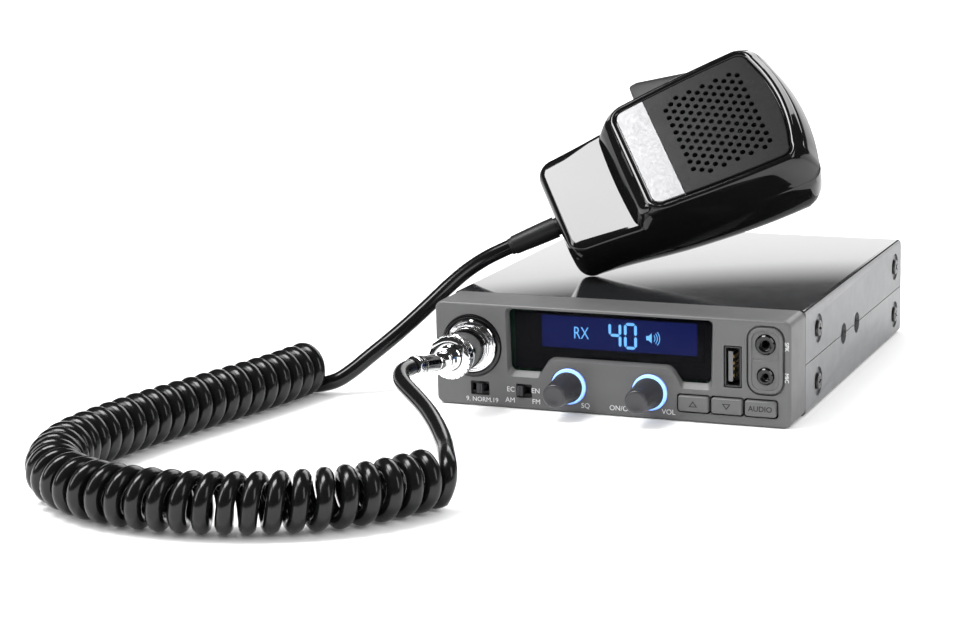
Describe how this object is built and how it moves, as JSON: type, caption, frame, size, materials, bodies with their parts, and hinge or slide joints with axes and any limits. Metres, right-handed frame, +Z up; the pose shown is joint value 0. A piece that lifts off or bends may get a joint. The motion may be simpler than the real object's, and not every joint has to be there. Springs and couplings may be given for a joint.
{
  "type": "mobile transceiver",
  "caption": "Mobile transceiver in a flat steel case with a display, knobs and keys, and a fist microphone on a curly cord.",
  "frame": {"origin": "on the underside of the bottom cover, midway between the sides and between the front panel and the rear of the case", "axes": "+Z up, -Y out of the front panel, +X to the right of someone facing the panel"},
  "size_m": [0.2309, 0.3785, 0.127],
  "materials": {
    "panel": "satin grey moulding",
    "lid": "gloss charcoal paint",
    "lower_cover": "satin grey paint",
    "casting": "die cast",
    "circuit": "solder mask",
    "glass": "clear smoked",
    "lit": "backlit blue",
    "halo": "translucent",
    "gloss_black": "polished",
    "soft_black": "satin",
    "knob": "satin",
    "chrome": "bright plated",
    "steel": "plated steel",
    "label": "brushed satin",
    "cord": "glossy jacket"
  },
  "bodies": {
    "body": {"front_bezel": "panel", "display_window": "glass", "lcd_panel": "lit", "display_board": "circuit", "top_cover": "lid", "bottom_cover": "lower_cover", "chassis_frame": "casting", "main_board": "circuit", "power_transistor": "soft_black", "loudspeaker": "soft_black", "antenna_socket": "chrome", "power_cord_grommet": "soft_black", "rear_speaker_jack": "soft_black", "usb_socket": "steel", "jack_plate": "panel", "speaker_jack": "chrome", "headset_jack": "chrome", "mic_socket": "chrome", "socket_trim_ring": "gloss_black", "squelch_halo": "halo", "volume_halo": "halo", "squelch_pot": "steel", "volume_pot": "steel", "channel_switch_body": "soft_black", "mode_switch_body": "soft_black", "button_switch_strip": "soft_black", "plug_barrel": "chrome", "cable_clamp": "chrome", "cord_lead_plug": "cord", "curly_coil": "cord", "cord_lead_mic": "cord", "case_screw_1": "steel", "case_screw_2": "steel", "case_screw_3": "steel", "case_screw_4": "steel", "case_screw_5": "steel", "case_screw_6": "steel", "case_screw_7": "steel", "case_screw_8": "steel"},
    "squelch_knob_body": {"squelch_knob": "knob"},
    "volume_knob_body": {"volume_knob": "knob"},
    "up_key": {"up_button": "panel"},
    "down_key": {"down_button": "panel"},
    "audio_key": {"audio_button": "panel"},
    "channel_lever": {"channel_switch_lever": "soft_black"},
    "mode_lever": {"mode_switch_lever": "soft_black"},
    "plug_ring": {"coupling_ring": "chrome"},
    "microphone": {"mic_front_shell": "gloss_black", "mic_back_shell": "gloss_black", "mic_grille_plate": "soft_black", "mic_label_plate": "label", "mic_capsule": "soft_black", "mic_board": "circuit", "ptt_switch": "steel", "mic_strain_relief": "soft_black", "hang_stud": "steel", "mic_screw_1": "steel", "mic_screw_2": "steel"},
    "ptt": {"ptt_button": "soft_black"}
  },
  "joints": [
    {"name": "squelch_turn", "type": "hinge", "parent": "body", "child": "squelch_knob_body", "pos_m": [-0.016, -0.0965, 0.01], "axis": [0, -1, 0], "range_deg": [-270, 0]},
    {"name": "volume_turn", "type": "hinge", "parent": "body", "child": "volume_knob_body", "pos_m": [0.016, -0.0965, 0.01], "axis": [0, -1, 0], "range_deg": [-270, 0]},
    {"name": "up_press", "type": "slide", "parent": "body", "child": "up_key", "axis": [0, 1, 0], "range_m": [0, 0.0004], "stiffness_N_per_m": 800},
    {"name": "down_press", "type": "slide", "parent": "body", "child": "down_key", "axis": [0, 1, 0], "range_m": [0, 0.0004], "stiffness_N_per_m": 800},
    {"name": "audio_press", "type": "slide", "parent": "body", "child": "audio_key", "axis": [0, 1, 0], "range_m": [0, 0.0004], "stiffness_N_per_m": 800},
    {"name": "channel_slide", "type": "slide", "parent": "body", "child": "channel_lever", "axis": [1, 0, 0], "range_m": [-0.0024, 0.0024]},
    {"name": "mode_slide", "type": "slide", "parent": "body", "child": "mode_lever", "axis": [1, 0, 0], "range_m": [0, 0.003]},
    {"name": "coupling_turn", "type": "hinge", "parent": "body", "child": "plug_ring", "pos_m": [-0.055, -0.0995, 0.0234], "axis": [0, -1, 0], "continuous": true},
    {"name": "mic_lift", "type": "slide", "parent": "body", "child": "microphone", "axis": [0, 0, 1], "range_m": [0, 0.03]},
    {"name": "ptt_press", "type": "hinge", "parent": "microphone", "child": "ptt", "pos_m": [0.00927, 0.01873, 0.1113], "axis": [0.035, -0.7431, 0.6683], "range_deg": [0, 5], "stiffness_Nm_per_rad": 0.6}
  ]
}
